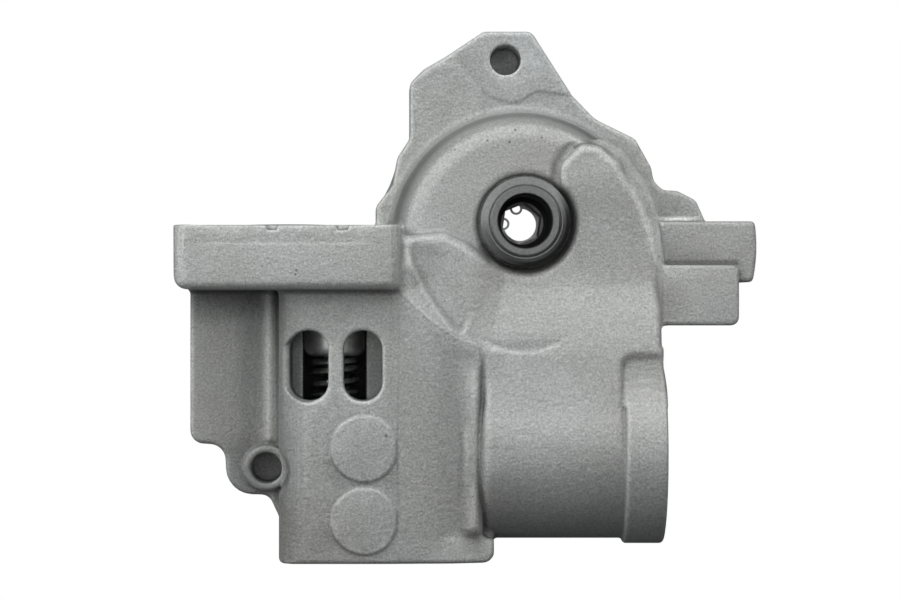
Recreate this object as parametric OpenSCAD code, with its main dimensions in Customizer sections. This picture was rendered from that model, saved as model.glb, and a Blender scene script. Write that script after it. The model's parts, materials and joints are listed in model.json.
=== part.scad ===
// Gerotor engine oil pump with relief valve. Millimetres.
// The drive shaft runs along Z through the origin, the pump lies on its rear
// face (z = 0) and its front looks up. +Y is the side of the two flange faces.

/* [Rotor set] */
// Eccentricity between the inner and the outer rotor
rotor_e = 3.9; // [3.8:0.05:3.95]
// Radius of the circle on which the outer rotor's lobe centres lie
lobe_pitch_r = 24.8; // [24.6:0.1:25]
// Radius of each lobe of the outer rotor
lobe_r = 8.2; // [8:0.1:8.4]
// Clearance between the lobes of the two rotors
lobe_gap = 0.06; // [0.04:0.01:0.1]
// Outer radius of the outer rotor
outer_rotor_r = 28.52; // [28.4:0.01:28.54]
// Radius of the chamber in which the outer rotor turns
chamber_r = 28.6; // [28.6:0.01:28.64]
// Height of the rotor chamber's front wall above the rear face
chamber_top = 37; // [36:0.5:37.5]
// Thickness of the space taken by the rear cover
cover_t = 9; // [8:0.5:10]

/* [Drive shaft] */
// Radius of the shaft's front journal
shaft_r = 10.3; // [10.2:0.01:10.31]
// Radius of the shaft behind its shoulder
shaft_rear_r = 9; // [8.95:0.01:9]
// Radius of the round bore in the shaft's front end
shaft_bore_r = 7.5; // [7:0.1:7.6]
// Width across the flats of the hexagon socket
hex_af = 10.7; // [10.4:0.1:10.8]
// Height of the shaft's front end above the rear face
shaft_top = 54; // [53:0.5:56]

/* [Suction side] */
// Height of the suction tube's axis above the rear face
tube_z = 36; // [35.5:0.5:36.5]
// Outer radius of the suction tube
tube_r = 24.6; // [24.2:0.1:25]
// Outer radius of the collar at the tube's mouth
collar_r = 26.1; // [26:0.1:26.6]
// Radius of the bore that takes the suction pipe
inlet_r = 21; // [20:0.1:21.2]
// Distance of the tube's axis below the shaft
tube_y = -66.5; // [-67:0.5:-66]

/* [Relief valve] */
// Radius of the relief valve's bore
relief_r = 9; // [9:0.01:9.02]
// Radius of the relief piston
piston_r = 8.95; // [8.93:0.01:8.95]
// Distance of the relief bore to the left of the shaft
relief_x = -54.5; // [-55:0.5:-54]
// Height of the relief bore above the rear face
relief_z = 38; // [37.5:0.5:38.5]
// Length of the relief piston
piston_len = 13; // [12:0.5:14]
// Full opening travel of the relief piston
relief_travel = 9; // [7:0.5:9]
// Wire diameter of the relief spring
spring_wire_d = 2; // [1.6:0.1:2.1]
// Number of turns of the relief spring
spring_turns = 13.5; // [12:0.5:14]

/* [Mounting holes] */
// Radius of the two blind holes in the ears and of the bolt hole in the arm
ear_hole_r = 4.5; // [4:0.1:4.8]
// Radius of the four tapped holes in the pressure flange
flange_hole_r = 3.4; // [3:0.1:4]
// Radius of the outlet port
outlet_r = 8.5; // [7.5:0.1:9]

/* [Hidden] */
$fn = 96;

casting = [0.64, 0.65, 0.64];
steel = [0.45, 0.46, 0.46];
dark_steel = [0.2, 0.2, 0.2];
bright_steel = [0.75, 0.76, 0.77];
bronze = [0.72, 0.53, 0.3];
seal_black = [0.07, 0.07, 0.07];

rotor_n = 5;                      // lobes of the outer rotor
side_gap = 0.04;                  // rotor clearance at each side
bush_r = 11.8;                    // outer radius of the front bush
bush_top = 46;
bush2_r = 10.5;                   // outer radius of the rear bush
block_front = 61;
hex_top = 24;                     // the hexagon socket's upper end
flange_y = -1.2;                  // the pressure flange's face
flange_back = -19.5;
piston_top = -25.5;               // piston's closed position
piston_end = piston_top - piston_len;
seat_top = -85;                   // upper face of the spring seat
block_end = -97;                  // lower face of the relief block
gallery_z = 43;
gallery_y = -12;
outlet_x = -68;
cover_c = [-0.4, -4.4];           // centre of the round cover
cover_r = 38.3;
screw_pitch_r = 33.6;
screw_angles = [20, 75, 140, 200, 255, 318];
dowel_angles = [48, 228];
top_hole = [-4.8, 48];
low_hole = [-74.6, -71.3];
arm_hole = [44.5, 31];            // x and z of the hole through the arm

function unit(v) = v / norm(v);
// points of an arc of radius r that rounds the corner b between a and c
function corner(a, b, c, r, n) =
    let (u = unit(a - b), v = unit(c - b), ang = acos(u * v),
         o = b + unit(u + v) * (r / sin(ang / 2)),
         p = b + u * (r / tan(ang / 2)), q = b + v * (r / tan(ang / 2)),
         a0 = atan2(p[1] - o[1], p[0] - o[0]),
         a1 = atan2(q[1] - o[1], q[0] - o[0]),
         d = ((a1 - a0 + 540) % 360) - 180)
    [for (i = [0:n]) o + r * [cos(a0 + d * i / n), sin(a0 + d * i / n)]];
// an outline of [x, y, radius] with its corners rounded
function rounded(pts, n = 4) =
    [for (i = [0:len(pts) - 1])
        let (a = pts[(i + len(pts) - 1) % len(pts)], b = pts[i],
             c = pts[(i + 1) % len(pts)])
        each b[2] > 0
            ? corner([a[0], a[1]], [b[0], b[1]], [c[0], c[1]], b[2], n)
            : [[b[0], b[1]]]];
// a ring sector about (cx, cy)
function sector(cx, cy, ri, ro, a0, a1, n = 24) = concat(
    [for (i = [0:n]) [cx + ro * cos(a0 + (a1 - a0) * i / n),
                      cy + ro * sin(a0 + (a1 - a0) * i / n)]],
    [for (i = [n:-1:0]) [cx + ri * cos(a0 + (a1 - a0) * i / n),
                         cy + ri * sin(a0 + (a1 - a0) * i / n)]]);
// one point of the inner rotor's outline, the envelope of the outer lobes
function inner_point(t, r) =
    let (n = rotor_n, psi = atan2(sin((1 - n) * t),
             lobe_pitch_r / (rotor_e * n) - cos((1 - n) * t)))
    [lobe_pitch_r * cos(t) - r * cos(t + psi) - rotor_e * cos(n * t),
     -lobe_pitch_r * sin(t) + r * sin(t + psi) + rotor_e * sin(n * t)];

module prism(pts, z0, z1) {
    translate([0, 0, z0]) linear_extrude(height = z1 - z0) polygon(pts);
}
// an outline in X and Z, extruded along Y from y0 up to y1
module prism_y(pts, y0, y1) {
    translate([0, y1, 0]) rotate([90, 0, 0])
        linear_extrude(height = y1 - y0) polygon(pts);
}
// an outline in Y and Z, extruded along X from x0 up to x1
module prism_x(pts, x0, x1) {
    translate([x0, 0, 0]) rotate([90, 0, 90])
        linear_extrude(height = x1 - x0) polygon(pts);
}
module rod_x(x0, x1, y, z, r) {
    translate([x0, y, z]) rotate([0, 90, 0]) cylinder(r = r, h = x1 - x0);
}
module rod_y(x, z, y0, y1, r) {
    translate([x, y1, z]) rotate([90, 0, 0]) cylinder(r = r, h = y1 - y0);
}
module on_pitch(angles) {
    for (a = angles)
        translate([cover_c[0] + screw_pitch_r * cos(a),
                   cover_c[1] + screw_pitch_r * sin(a), 0]) children();
}

plate_outline = rounded([
    [-11.2, 56.5, 2], [2.9, 56.5, 3], [14.9, 37.7, 4], [21.6, 30.7, 8],
    [33.4, 24.9, 4], [38.1, 16.4, 3], [38.8, 12.4, 2], [41.4, 9.9, 3],
    [45.2, 9.7, 3], [51.2, 6.8, 4], [54.2, 0, 0],
    [53, -16, 6], [39, -36, 0], [38, -44, 0], [-43, -44, 0],
    [-43, 5, 3], [-38, 11.5, 4], [-36.6, 19.5, 3], [-33, 25, 4],
    [-33, 41, 3], [-29, 45.2, 4], [-22.6, 49, 4]]);
left_outline = rounded([
    [-97, -8, 0], [-97, -64, 4], [-86.8, -64.6, 4], [-86.3, -78.8, 8],
    [-74, -79.4, 3], [-71, -85, 0], [-60, -85, 0], [-60, -8, 0]]);
suction_outline = rounded([
    [15, 22, 4], [21.5, 22.5, 5], [28.5, 17.5, 4], [32, 4, 20],
    [36.5, -10, 30], [38.4, -26, 20], [38.4, -39.5, 0], [28.2, -39.5, 0],
    [28.2, -64, 0], [-10, -64, 0], [-11, -42, 0], [-16, -33, 3],
    [-14, -20, 0], [-12.6, -13, 0], [-6, -8, 0], [4, 4, 0], [8.6, 13, 3],
    [8.8, 18, 4]], 3);
// the roof over the suction passage climbs towards the tube's crown
suction_profile = [[30, 20], [30, 50.2], [-13, 49.8], [-18, 50.4], [-28, 53.4],
    [-37, 55.2], [-45, 56.4], [-52, 57.7], [-59, 59.3], [-68, 59.8], [-68, 20]];
web_outline = rounded([
    [-42, -3.2, 0], [-32.6, -3, 4], [-23, -2.2, 4], [-16.5, -5, 3],
    [-10, -11, 0], [-10.5, -41, 0], [-42, -41.5, 0]], 3);
// the web's front climbs from the hub to the relief block
web_profile = [[-42, 12], [-42, 58.4], [-33, 57.4], [-15, 52.7], [-9, 52.2],
    [-9, 12]];
block_outline = rounded([
    [-70.1, -97, 1], [-16.8, -97, 0], [-16.8, -35, 0], [-19.6, -33.4, 3],
    [-27.5, -27.8, 0], [-35.5, -20.3, 3], [-36, -18.5, 0],
    [-70.1, -18.5, 0]], 3);

module casting_body() {
    // ear plate behind the dome, and the wall round the cover
    prism(plate_outline, 6, 22);
    translate([cover_c[0], cover_c[1], 0]) cylinder(r = 41.4, h = 12);
    // rear pads of the two upper ears
    translate([top_hole[0], top_hole[1], 0]) cylinder(r = 8.3, h = 22.4);
    translate([45.5, 1.5, 0]) cylinder(r = 6.6, h = 14);
    // plate on the left with the lower ear
    prism(left_outline, 16, 28);
    translate([low_hole[0], low_hole[1], 4]) cylinder(r = 6.8, h = 24.5);
    prism([[-97, -12], [-97, -18], [-68, -18], [-68, -12]], 4, 20);
    prism([[-76, -70], [-68, -76], [-68, -62], [-76, -66]], 4, 20);
    // rotor dome
    translate([-0.7, -5.3, 9]) cylinder(r = 38.3, h = 13);
    translate([-0.7, -5.3, 22]) cylinder(r1 = 38.3, r2 = 35.2, h = 19.5);
    translate([-0.7, -5.3, 41.5]) cylinder(r1 = 35.2, r2 = 31.4, h = 6.2);
    // suction side: raised field, tube and collar
    intersection() {
        prism(suction_outline, 20, 60);
        prism_x(suction_profile, -18, 40);
    }
    rod_x(-16, 30, tube_y, tube_z, tube_r);
    rod_x(28.5, 40.3, tube_y, tube_z, collar_r);
    prism_x([[-52, 30], [-52, 57.2], [-50.8, 56.6], [-47.8, 55.2],
             [-42.7, 54], [-38.6, 53.8], [-38.6, 30]], 28.5, 38.6);
    // web between the dome, the flange and the block
    intersection() {
        prism(web_outline, 12, 59);
        prism_y(web_profile, -42, 0);
    }
    // relief block, rounded along its front left edge, and the two round
    // lands on its front
    intersection() {
        prism_y(rounded([[-70.1, 0, 1], [-70.1, block_front, 8],
                         [-40, block_front - 0.1, 0], [-24, 59.4, 6],
                         [-16, 57.2, 0], [-16, 0, 1]]),
                block_end - 1, flange_back + 2);
        prism(block_outline, 0, block_front + 1);
    }
    for (y = [-64.4, -84.9])
        translate([-45.9, y, 50]) cylinder(r = 9.3, h = block_front - 49.7);
    // ridge beside the tube and the foot of the block
    prism_y(rounded([[-18, 30, 0], [-18, 57.4, 0], [-15.2, 58.2, 1],
                     [-12.6, 57.2, 1.5], [-12.6, 30, 0]]), -89.3, -35.5);
    prism_y(rounded([[-24, 4, 0], [-24, 57, 0], [-16.8, 56, 0],
                     [-8.8, 53, 3], [-8.8, 4, 4]]), -97, -90.6);
    prism_y(rounded([[-24, 4, 0], [-24, 44, 0], [-8.4, 44, 4],
                     [-8.4, 4, 4]]), -97, -62);
    // pressure flange
    prism_y(rounded([[-99.7, 10, 6], [-99.7, 66, 5], [-36, 66, 4],
                     [-36, 10, 4]]), flange_back, flange_y);
    prism([[-45, -3.6], [-45, -30], [-33, -22.5], [-34.8, -12],
           [-34.8, -3.6]], 20, 58.2);
    // stepped arm on the right with its machined pad
    prism_y(rounded([[34, 12, 0], [34, 42, 0], [66.9, 42, 2],
                     [66.9, 12, 3]]), -17.2, 0.2);
    prism_y(rounded([[34, 10, 0], [34, 46, 0], [61.5, 46, 2],
                     [61.5, 10, 3]]), -29.6, -12.4);
    rod_y(arm_hole[0], arm_hole[1], -1, 1.4, 7);
}

module pump_housing() {
    color(casting) difference() {
        casting_body();
        // annular groove round the hub
        difference() {
            translate([0, 0, 44.6]) cylinder(r1 = 13.8, r2 = 19.3, h = 13);
            translate([0, 0, 43]) cylinder(r = 12.9, h = bush_top - 43);
        }
        // rotor chamber, cover recess and bores of the shaft and its bush
        translate([0, -rotor_e, 1]) cylinder(r = chamber_r, h = chamber_top - 1);
        translate([cover_c[0], cover_c[1], -1])
            cylinder(r = cover_r + 0.2, h = cover_t + 1);
        translate([0, 0, 30]) cylinder(r = bush_r, h = bush_top - 30);
        // suction port, its duct and the tube's bore
        prism(sector(0, -2, 14.2, 24.4, -78, 62), chamber_top - 1, 40);
        prism(sector(0, -2, 19.8, 23.8, -74, 46), chamber_top - 0.5, 46.4);
        prism([[7.5, -20.5], [21.5, -13], [24.5, -36], [7.5, -36]], 39, 46.8);
        prism([[7, -33], [25, -33], [27, -52], [7, -52]], 38.4, 50);
        rod_x(-6, 42, tube_y, tube_z, 18);
        rod_x(16, 42, tube_y, tube_z, inlet_r);
        rod_x(31, 34, tube_y, tube_z, inlet_r + 2);
        translate([39, tube_y, tube_z]) rotate([0, 90, 0])
            cylinder(r1 = inlet_r - 0.2, r2 = inlet_r + 1.4, h = 1.6);
        // pressure port, drilled gallery and outlet
        prism(sector(0, -2, 14.2, 24.4, 118, 262), chamber_top - 1, 39.2);
        prism([[-24, -7], [-15, -9], [-13, -20], [-22, -20]],
              chamber_top - 1, 46.6);
        rod_x(-96, -18, gallery_y, gallery_z, 5.5);
        rod_x(-102, -95, gallery_y, gallery_z, 6.5);
        rod_y(outlet_x, gallery_z, gallery_y - 2, 1, outlet_r);
        difference() {
            rod_y(outlet_x, gallery_z, flange_y - 2.2, 1, 13.6);
            rod_y(outlet_x, gallery_z, flange_y - 3, 1, 10.6);
        }
        // relief bore, its seat, its plug's bore and its circlip's groove
        rod_y(relief_x, relief_z, block_end - 1, piston_top, relief_r);
        rod_y(relief_x, relief_z, -32, gallery_y + 3, 7.5);
        rod_y(relief_x, relief_z, block_end - 2, -87, 10.5);
        rod_y(relief_x, relief_z, -94.9, -93.5, 11.5);
        // the two relief slots
        for (x = [-61.4, -46.2])
            prism(rounded([[x - 5.5, -51, 5.4], [x + 5.5, -51, 5.4],
                           [x + 5.5, -31, 5.4], [x - 5.5, -31, 5.4]], 8),
                  40, 63);
        // tapped holes and two front notches of the pressure flange
        for (x = [-93, -43], z = [18, 57])
            rod_y(x, z, -16, 1, flange_hole_r);
        for (x = [-73, -53.4])
            prism([[x, -2.7], [x + 3, -2.7], [x + 3, 1], [x, 1]], 61, 67);
        // scallop in the block's side above the lower ear
        translate([low_hole[0], low_hole[1], 28.8])
            cylinder(r1 = 6.5, r2 = 7.5, h = 35.2);
        // blind holes of the ears and bolt hole of the arm
        translate([top_hole[0], top_hole[1], 4])
            cylinder(r = ear_hole_r, h = 30);
        translate([low_hole[0], low_hole[1], 16])
            cylinder(r = ear_hole_r, h = 14);
        rod_y(arm_hole[0], arm_hole[1], -31, 3, ear_hole_r);
        // threaded holes of the cover screws and holes of the dowels
        on_pitch(screw_angles) translate([0, 0, 8])
            cylinder(r = 2.5, h = 12.5, $fn = 48);
        on_pitch(dowel_angles) translate([0, 0, 8])
            cylinder(r = 2.5, h = 8, $fn = 48);
        // weight-saving pockets in the rear of the block
        for (x = [-59.5, -43.5, -27.5])
            prism(rounded([[x - 6.5, -91, 3], [x + 6.5, -91, 3],
                           [x + 6.5, -47, 3], [x - 6.5, -47, 3]], 3),
                  -1, 22);
    }
}

module rotor_cover() {
    color(casting) difference() {
        translate([cover_c[0], cover_c[1], 0.5])
            cylinder(r = cover_r, h = cover_t - 0.5);
        translate([0, 0, -1]) cylinder(r = bush2_r, h = 12);
        // shadow ports opposite the housing's ports
        prism(sector(0, -2, 14.2, 24.4, -60, 62), 6, 10);
        prism(sector(0, -2, 14.2, 24.4, 118, 240), 6, 10);
        on_pitch(screw_angles) {
            translate([0, 0, -1]) cylinder(r = 2.7, h = 12, $fn = 48);
            translate([0, 0, -0.5])
                cylinder(r1 = 5.8, r2 = 2.7, h = 3.1, $fn = 48);
        }
        on_pitch(dowel_angles) translate([0, 0, 2])
            cylinder(r = 2.5, h = 8, $fn = 48);
        // turned recess round the shaft's end
        translate([0, 0, -1]) cylinder(r = 12.5, h = 2.2);
    }
}

module cover_screws() {
    color(dark_steel) on_pitch(screw_angles) difference() {
        union() {
            translate([0, 0, 0.7])
                cylinder(r1 = 4.55, r2 = 2.45, h = 2.1, $fn = 48);
            translate([0, 0, 2.7]) cylinder(r = 2.45, h = 16.8, $fn = 48);
        }
        cylinder(r = 1.75, h = 2.6, $fn = 6);
    }
}

module cover_dowels() {
    color(bright_steel) on_pitch(dowel_angles) translate([0, 0, 2.5])
        cylinder(r = 2.5, h = 13, $fn = 48);
}

module drive_shaft() {
    color(steel) difference() {
        union() {
            cylinder(r = shaft_rear_r, h = 40);
            translate([0, 0, chamber_top + 0.1])
                cylinder(r = shaft_r, h = shaft_top - chamber_top - 0.9);
            translate([0, 0, shaft_top - 0.8])
                cylinder(r1 = shaft_r, r2 = shaft_r - 0.8, h = 0.8);
        }
        translate([0, 0, hex_top]) cylinder(r = shaft_bore_r, h = 36);
        translate([0, 0, shaft_top - 0.7])
            cylinder(r1 = shaft_bore_r - 0.1, r2 = shaft_bore_r + 1, h = 1.1);
        translate([0, 0, 5]) rotate([0, 0, 21.8])
            cylinder(r = hex_af / 2 / cos(30), h = hex_top - 4, $fn = 6);
        translate([0, 0, -1]) cylinder(r = 7.1, h = 7.5);
        translate([0, 0, 4.4]) cylinder(r = 7.8, h = 1.4);
        // keyway of the inner rotor's key
        rotate([0, 0, 45]) translate([shaft_rear_r - 2, -2, 11.5])
            cube([4, 4, 11]);
    }
}

module rotor_key() {
    color(bright_steel) rotate([0, 0, 45])
        translate([shaft_rear_r - 2, -2, 11.5]) cube([3.8, 4, 11]);
}

module inner_rotor() {
    color(steel) difference() {
        rotate([0, 0, 90])
            translate([0, 0, cover_t + side_gap])
            linear_extrude(height = chamber_top - cover_t - 2 * side_gap)
            // the points lie closer together in the valleys, for even chords
            polygon([for (u = [0:2:358])
                inner_point(u - 12.6 * sin(4 * u), lobe_r + lobe_gap)]);
        translate([0, 0, 5]) cylinder(r = shaft_rear_r, h = 40);
        rotate([0, 0, 45]) translate([shaft_rear_r - 3, -2, 5])
            cube([5, 4, 40]);
    }
}

module outer_rotor() {
    color(steel) translate([0, -rotor_e, cover_t + side_gap])
        linear_extrude(height = chamber_top - cover_t - 2 * side_gap)
        difference() {
            circle(r = outer_rotor_r);
            difference() {
                circle(r = lobe_pitch_r - lobe_r + 2 * rotor_e + lobe_gap);
                for (k = [0:rotor_n - 1])
                    rotate(90 + 360 * k / rotor_n)
                        translate([lobe_pitch_r, 0]) circle(r = lobe_r);
            }
        }
}

// steel bush of the shaft's front journal, with a bevelled flange
module housing_bush() {
    color(steel) difference() {
        union() {
            translate([0, 0, chamber_top + 0.3])
                cylinder(r = bush_r, h = bush_top - chamber_top + 1);
            translate([0, 0, bush_top]) cylinder(r = 12.7, h = 5.7);
            translate([0, 0, bush_top + 5.7])
                cylinder(r1 = 12.7, r2 = 10.7, h = 1.7);
        }
        translate([0, 0, 30]) cylinder(r = shaft_r + 0.05, h = 30);
    }
}

module cover_bush() {
    color(bronze) difference() {
        translate([0, 0, 1.4]) cylinder(r = bush2_r, h = cover_t - 1.6);
        translate([0, 0, 0]) cylinder(r = shaft_rear_r + 0.05, h = 12);
    }
}

module shaft_stop_ring() {
    color(dark_steel) translate([0, 0, 4.5])
        linear_extrude(height = 1.2) difference() {
            union() {
                difference() {
                    circle(r = 7.75);
                    circle(r = 4.8);
                    polygon([[0, 0], [20 * cos(113), 20 * sin(113)],
                             [20 * cos(140), 20 * sin(140)],
                             [20 * cos(167), 20 * sin(167)]]);
                }
                for (a = [103, 177])
                    translate([4.95 * cos(a), 4.95 * sin(a)])
                        circle(r = 1.85, $fn = 32);
            }
            for (a = [103, 177])
                translate([4.95 * cos(a), 4.95 * sin(a)])
                    circle(r = 1.2, $fn = 24);
        }
}

module relief_piston() {
    color(bright_steel) translate([relief_x, 0, relief_z]) rotate([90, 0, 0])
        difference() {
            rotate_extrude() polygon(rounded([
                [0, -piston_top, 0], [piston_r - 0.6, -piston_top, 0],
                [piston_r, -piston_top + 0.6, 0],
                [piston_r, -piston_end, 2.6], [3, -piston_end, 0],
                [3, -piston_end + 4, 0.6], [0, -piston_end + 4, 0]], 6));
            // cup in the pressure end
            translate([0, 0, -piston_top - 1]) cylinder(r = 5.5, h = 7);
        }
}

// one ring of the coil's skin: 8 points about the wire's centre
function coil_ring(a, y, r, w) = [for (k = [0:7])
    let (c = cos(45 * k), s = sin(45 * k))
    [(r + w * c) * cos(a), y + w * s, (r + w * c) * sin(a)]];
module relief_spring() {
    top = piston_end - spring_wire_d / 2;
    len = top - seat_top - spring_wire_d / 2;
    w = spring_wire_d / 2;
    turns = spring_turns;
    steps = floor(turns * 20);
    // closed first and last turns, even pitch between them
    function lift(u) = let (e = 1 / turns, p = spring_wire_d * 1.02)
        u < e ? u / e * p
        : u > 1 - e ? len - (1 - u) / e * p
        : p + (u - e) / (1 - 2 * e) * (len - 2 * p);
    pts = [for (i = [0:steps])
        each coil_ring(360 * turns * i / steps, top - lift(i / steps), 6.2, w)];
    faces = concat([[for (k = [7:-1:0]) k]],
        [for (i = [0:steps - 1], k = [0:7])
            [i * 8 + k, i * 8 + (k + 1) % 8,
             (i + 1) * 8 + (k + 1) % 8, (i + 1) * 8 + k]],
        [[for (k = [0:7]) steps * 8 + k]]);
    color(dark_steel) translate([relief_x, 0, relief_z])
        polyhedron(points = pts, faces = faces);
}

module relief_spring_seat() {
    color(steel) difference() {
        rod_y(relief_x, relief_z, seat_top - 2, seat_top, 8.6);
        rod_y(relief_x, relief_z, seat_top - 3, seat_top + 1, 2.5);
    }
}

module relief_plug() {
    color(steel) difference() {
        rod_y(relief_x, relief_z, -93.5, -87, 10.5);
        rod_y(relief_x, relief_z, -91.4, -89.2, 11);
        rod_y(relief_x, relief_z, -98, -90.5, 6);
    }
    color(steel) rod_y(relief_x, relief_z, -91.4, -89.2, 8.8);
}

module ring_y(x, y, z, rc, rw) {
    translate([x, y, z]) rotate([90, 0, 0]) rotate_extrude()
        translate([rc, 0]) circle(r = rw, $fn = 32);
}

module relief_plug_oring() {
    color(seal_black) ring_y(relief_x, -90.3, relief_z, 9.66, 0.82);
}

module relief_circlip() {
    color(dark_steel) translate([relief_x, -93.6, relief_z])
        rotate([90, 0, 0]) linear_extrude(height = 1.2) difference() {
            union() {
                difference() {
                    circle(r = 11.4);
                    circle(r = 8.6);
                    polygon([[0, 0], [20 * cos(75), 20 * sin(75)],
                             [20 * cos(105), 20 * sin(105)]]);
                }
                for (a = [68, 112])
                    translate([8.3 * cos(a), 8.3 * sin(a)])
                        circle(r = 2, $fn = 32);
            }
            for (a = [68, 112])
                translate([8 * cos(a), 8 * sin(a)]) circle(r = 1, $fn = 24);
        }
}

module gallery_plug() {
    color(steel) difference() {
        rod_x(-99.2, -95, gallery_y, gallery_z, 6.5);
        translate([-100, gallery_y, gallery_z]) rotate([0, 90, 0])
            cylinder(r = 3.2, h = 4, $fn = 6);
    }
}

module inlet_seal() {
    color(seal_black) translate([32.5, tube_y, tube_z]) rotate([0, 90, 0])
        rotate_extrude() translate([inlet_r + 0.96, 0])
            circle(r = 0.94, $fn = 32);
}

module outlet_seal() {
    color(seal_black)
        ring_y(outlet_x, flange_y - 0.95, gallery_z, 12.1, 1.2);
}

pump_housing();
rotor_cover();
cover_screws();
cover_dowels();
drive_shaft();
rotor_key();
inner_rotor();
outer_rotor();
housing_bush();
cover_bush();
shaft_stop_ring();
relief_piston();
relief_spring();
relief_spring_seat();
relief_plug();
relief_plug_oring();
relief_circlip();
gallery_plug();
inlet_seal();
outlet_seal();
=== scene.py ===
import json
import math
import bpy
import numpy as np
import openvdb
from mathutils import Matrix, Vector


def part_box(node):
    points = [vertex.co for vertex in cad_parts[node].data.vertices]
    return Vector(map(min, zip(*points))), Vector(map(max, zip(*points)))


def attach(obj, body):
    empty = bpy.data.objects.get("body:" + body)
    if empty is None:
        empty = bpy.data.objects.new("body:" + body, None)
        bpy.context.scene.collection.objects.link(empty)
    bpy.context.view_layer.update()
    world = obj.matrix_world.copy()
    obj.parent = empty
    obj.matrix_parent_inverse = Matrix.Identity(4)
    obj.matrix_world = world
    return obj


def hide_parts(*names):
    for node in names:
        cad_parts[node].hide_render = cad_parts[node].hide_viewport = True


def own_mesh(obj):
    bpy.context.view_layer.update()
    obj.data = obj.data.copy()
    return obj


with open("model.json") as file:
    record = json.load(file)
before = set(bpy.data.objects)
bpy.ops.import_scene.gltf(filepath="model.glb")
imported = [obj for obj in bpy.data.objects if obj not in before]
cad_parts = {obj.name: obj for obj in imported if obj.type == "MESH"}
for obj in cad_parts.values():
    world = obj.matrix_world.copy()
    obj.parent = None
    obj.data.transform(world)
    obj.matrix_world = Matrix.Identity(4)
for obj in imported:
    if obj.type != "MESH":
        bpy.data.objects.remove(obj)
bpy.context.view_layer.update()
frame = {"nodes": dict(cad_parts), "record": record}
nodes = frame["nodes"]

# ---------------------------------------------------------------- camera
# Straight down the drive shaft; 3.5 px/mm on the plane 48 mm above the floor.
cam_data = bpy.data.cameras.new("camera")
cam_data.sensor_fit = "HORIZONTAL"
cam_data.sensor_width = 36.0
cam_data.lens = 140.0
cam_data.clip_start = 0.01
cam_data.clip_end = 10.0
cam = bpy.data.objects.new("camera", cam_data)
cam.location = (-0.0350, -0.0224, 1.048)
cam_data.shift_x = 47.6 / 900
bpy.context.scene.collection.objects.link(cam)
bpy.context.scene.camera = cam

scene = bpy.context.scene
scene.view_settings.view_transform = "Standard"
scene.view_settings.look = "None"

# ------------------------------------------------- distance-field modelling
# The casting is modelled as a distance field in millimetres, so that its
# walls, bosses and ribs run into each other with true fillets.


def unit(v):
    return v / np.linalg.norm(v)


def rounded(pts, n=6):
    """An outline of (x, y, radius) with its corners rounded."""
    out = []
    for i, (bx, by, r) in enumerate(pts):
        b = np.array((bx, by), float)
        if r <= 0:
            out.append(b)
            continue
        a = np.array(pts[i - 1][:2], float)
        c = np.array(pts[(i + 1) % len(pts)][:2], float)
        u, v = unit(a - b), unit(c - b)
        ang = math.acos(float(np.clip(u @ v, -1, 1)))
        o = b + unit(u + v) * (r / math.sin(ang / 2))
        p, q = b + u * (r / math.tan(ang / 2)), b + v * (r / math.tan(ang / 2))
        a0 = math.atan2(*(p - o)[::-1])
        a1 = math.atan2(*(q - o)[::-1])
        d = (a1 - a0 + 3 * math.pi) % (2 * math.pi) - math.pi
        for k in range(n + 1):
            t = a0 + d * k / n
            out.append(o + r * np.array((math.cos(t), math.sin(t))))
    return np.array(out)


def poly(pts, u, v):
    """Signed distance to a closed outline on the broadcast coordinates."""
    pts = np.asarray(pts, np.float32)[:, :2]
    u, v = np.broadcast_arrays(u, v)
    best = np.full(u.shape, 1e9, np.float32)
    inside = np.zeros(u.shape, bool)
    for i in range(len(pts)):
        ax, ay = pts[i - 1]
        bx, by = pts[i]
        ex, ey = bx - ax, by - ay
        px, py = u - ax, v - ay
        ll = ex * ex + ey * ey
        if ll < 1e-12:
            continue
        t = np.clip((px * ex + py * ey) / ll, 0, 1)
        best = np.minimum(best, (px - t * ex) ** 2 + (py - t * ey) ** 2)
        if ay != by:
            cross = ((ay > v) != (by > v)) & (u < (bx - ax) * (v - ay) / (by - ay) + ax)
            inside ^= cross
    d = np.sqrt(best)
    return np.where(inside, -d, d)


def both(a, b, r=0.0):
    """Intersection whose edge is rounded by r."""
    if r <= 0:
        return np.maximum(a, b)
    u, v = np.maximum(a + r, 0), np.maximum(b + r, 0)
    return np.minimum(-r, np.maximum(a, b)) + np.sqrt(u * u + v * v)


def join(a, b, r=0.0):
    """Union whose corner is filleted by r."""
    if r <= 0:
        return np.minimum(a, b)
    u, v = np.maximum(r - a, 0), np.maximum(r - b, 0)
    return np.maximum(r, np.minimum(a, b)) - np.sqrt(u * u + v * v)


def profile(pts, sigma=1.5):
    """A smoothed height profile through (coordinate, height) points."""
    p = np.array(sorted(pts), float)
    t = np.arange(p[0, 0] - 12, p[-1, 0] + 12, 0.25)
    v = np.interp(t, p[:, 0], p[:, 1])
    k = np.exp(-0.5 * (np.arange(-24, 25) * 0.25 / sigma) ** 2)
    v = np.convolve(np.pad(v, 24, mode="edge"), k / k.sum(), mode="valid")
    return lambda u: np.interp(u, t, v).astype(np.float32)


def soft(d, w):
    """1 inside an outline, 0 outside, over a band of half-width w."""
    return 1 - ramp(d, -w, w)


def slab(w, lo, hi):
    return np.maximum(lo - w, w - hi)


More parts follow.
